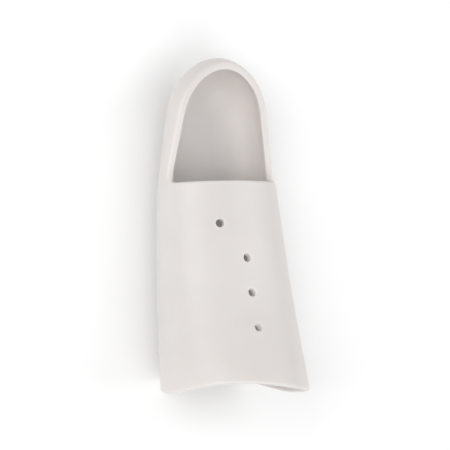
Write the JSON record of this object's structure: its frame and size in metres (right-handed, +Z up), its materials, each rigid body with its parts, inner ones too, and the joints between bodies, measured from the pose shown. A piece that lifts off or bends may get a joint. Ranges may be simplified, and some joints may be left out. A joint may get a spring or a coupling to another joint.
{
  "type": "finger splint",
  "caption": "Moulded mallet-finger splint: a rounded fingertip cup with an open window over the nail and a vented collar that slides onto the finger.",
  "frame": {"origin": "on the surface that the splint rests on, under the middle of its length and width", "axes": "+Y towards the fingertip, +Z up through the nail window, +X to the side away from the single offset vent hole"},
  "size_m": [0.0271, 0.06, 0.0236],
  "materials": {
    "splint_plastic": "satin, pale beige"
  },
  "bodies": {
    "root": {"splint_shell": "splint_plastic"}
  },
  "joints": []
}
